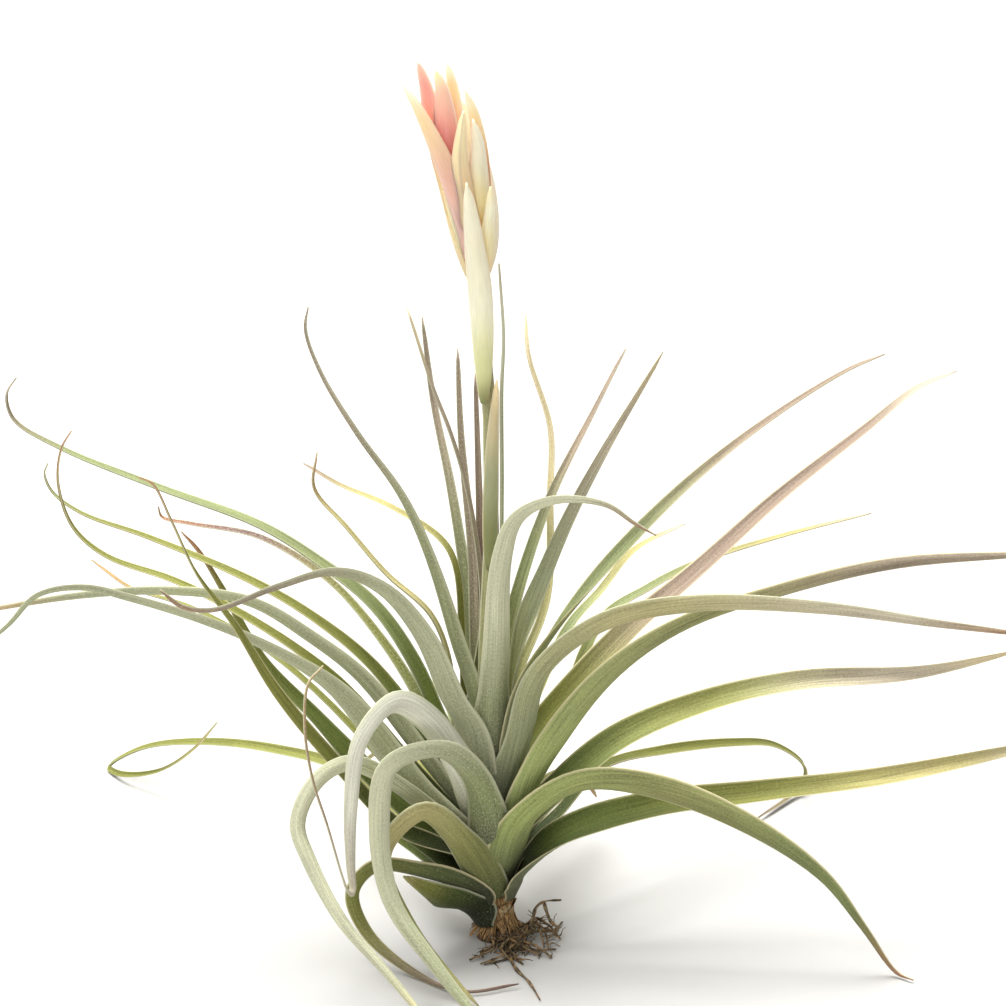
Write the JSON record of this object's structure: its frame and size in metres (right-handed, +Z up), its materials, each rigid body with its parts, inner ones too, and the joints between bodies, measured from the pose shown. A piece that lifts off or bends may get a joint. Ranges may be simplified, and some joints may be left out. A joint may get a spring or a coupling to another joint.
{
  "type": "flowering air plant",
  "caption": "Air plant with long channelled, curling leaves round a short stem, a wiry root tuft below and an upright spike of overlapping bracts.",
  "frame": {"origin": "middle of the flat underside of the root tuft, on the surface that the plant lies on", "axes": "+Z up along the stem, -Y towards the plant's front, +X along the plant's longest spread"},
  "size_m": [0.3083, 0.1888, 0.2677],
  "materials": {
    "green_leaves": "matte, velvety grey-green",
    "silver_leaves": "matte, velvety silver-grey",
    "olive_leaves": "matte, velvety olive",
    "stem": "rough and fibrous",
    "roots": "dry and wiry",
    "stalk": "matte",
    "cream_bracts": "satin, papery",
    "pink_bracts": "satin, papery"
  },
  "bodies": {
    "root": {"root_tuft": "roots", "stem": "stem", "flower_stalk": "stalk", "stalk_bract_cream": "cream_bracts", "stalk_bract_peach": "cream_bracts", "stalk_bract_green": "silver_leaves", "spike_cream": "cream_bracts", "spike_pink": "pink_bracts", "leaf_right_01": "silver_leaves", "leaf_right_02": "green_leaves", "leaf_right_03": "green_leaves", "leaf_right_04": "green_leaves", "leaf_right_05": "olive_leaves", "leaf_right_06": "olive_leaves", "leaf_right_07": "olive_leaves", "leaf_right_08": "olive_leaves", "leaf_right_09": "olive_leaves", "leaf_right_10": "green_leaves", "leaf_right_11": "olive_leaves", "leaf_right_12": "olive_leaves", "leaf_right_13": "olive_leaves", "leaf_right_14": "olive_leaves", "leaf_left_01": "silver_leaves", "leaf_left_02": "silver_leaves", "leaf_left_03": "olive_leaves", "leaf_left_04": "green_leaves", "leaf_left_05": "silver_leaves", "leaf_left_06": "green_leaves", "leaf_left_07": "silver_leaves", "leaf_left_08": "green_leaves", "leaf_left_09": "green_leaves", "leaf_left_10": "silver_leaves", "leaf_left_11": "olive_leaves", "leaf_left_12": "olive_leaves", "leaf_left_13": "silver_leaves", "leaf_left_14": "silver_leaves", "leaf_left_15": "olive_leaves", "leaf_left_16": "green_leaves", "leaf_left_17": "green_leaves", "leaf_left_18": "green_leaves", "leaf_curl_01": "silver_leaves", "leaf_curl_02": "silver_leaves", "leaf_curl_03": "green_leaves", "leaf_curl_04": "green_leaves", "leaf_curl_05": "olive_leaves", "leaf_low_01": "green_leaves", "leaf_low_02": "green_leaves", "leaf_low_03": "green_leaves", "leaf_back_01": "green_leaves", "leaf_back_02": "green_leaves", "leaf_back_03": "green_leaves", "leaf_back_04": "green_leaves", "leaf_back_05": "green_leaves"}
  },
  "joints": []
}
